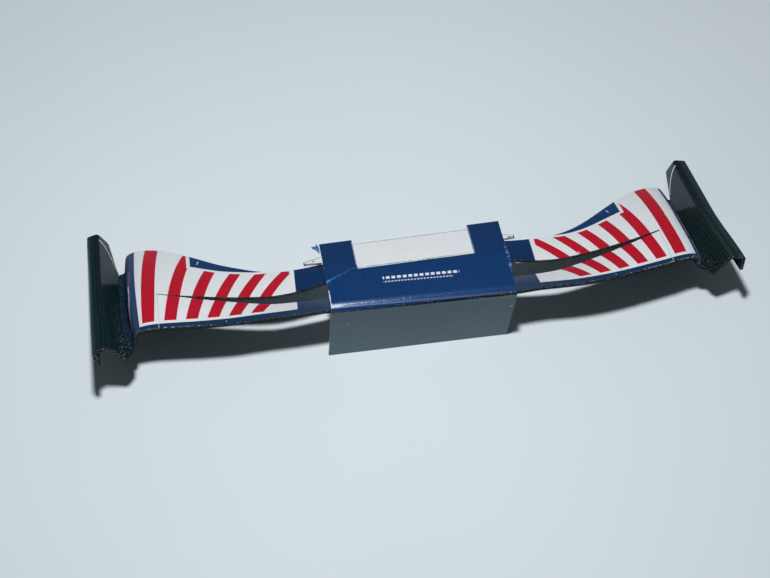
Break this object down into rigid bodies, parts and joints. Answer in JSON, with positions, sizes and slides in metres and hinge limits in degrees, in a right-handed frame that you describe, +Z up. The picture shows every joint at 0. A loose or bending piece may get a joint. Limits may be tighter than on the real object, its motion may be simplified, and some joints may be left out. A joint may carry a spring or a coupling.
{
  "type": "card model front wing of an open wheel racing car",
  "caption": "Folded card front wing with a centre saddle, two slit wing halves and channel endplates, standing nose up on its front wall and endplate tails.",
  "frame": {"origin": "on the table, at the middle of the front wall's bottom edge", "axes": "+X to the right seen from the front, +Y to the rear, +Z up"},
  "size_m": [0.0754, 0.0218, 0.0098],
  "materials": {
    "navy_card": "satin printed card",
    "white_card": "matt bare card",
    "printed_card": "satin printed card",
    "black_card": "satin printed card"
  },
  "bodies": {
    "root": {"centre_saddle": "navy_card", "glue_strip": "white_card", "wing_upper_left": "printed_card", "wing_under_left": "black_card", "endplate_left": "black_card", "wing_upper_right": "printed_card", "wing_under_right": "black_card", "endplate_right": "black_card"}
  },
  "joints": []
}
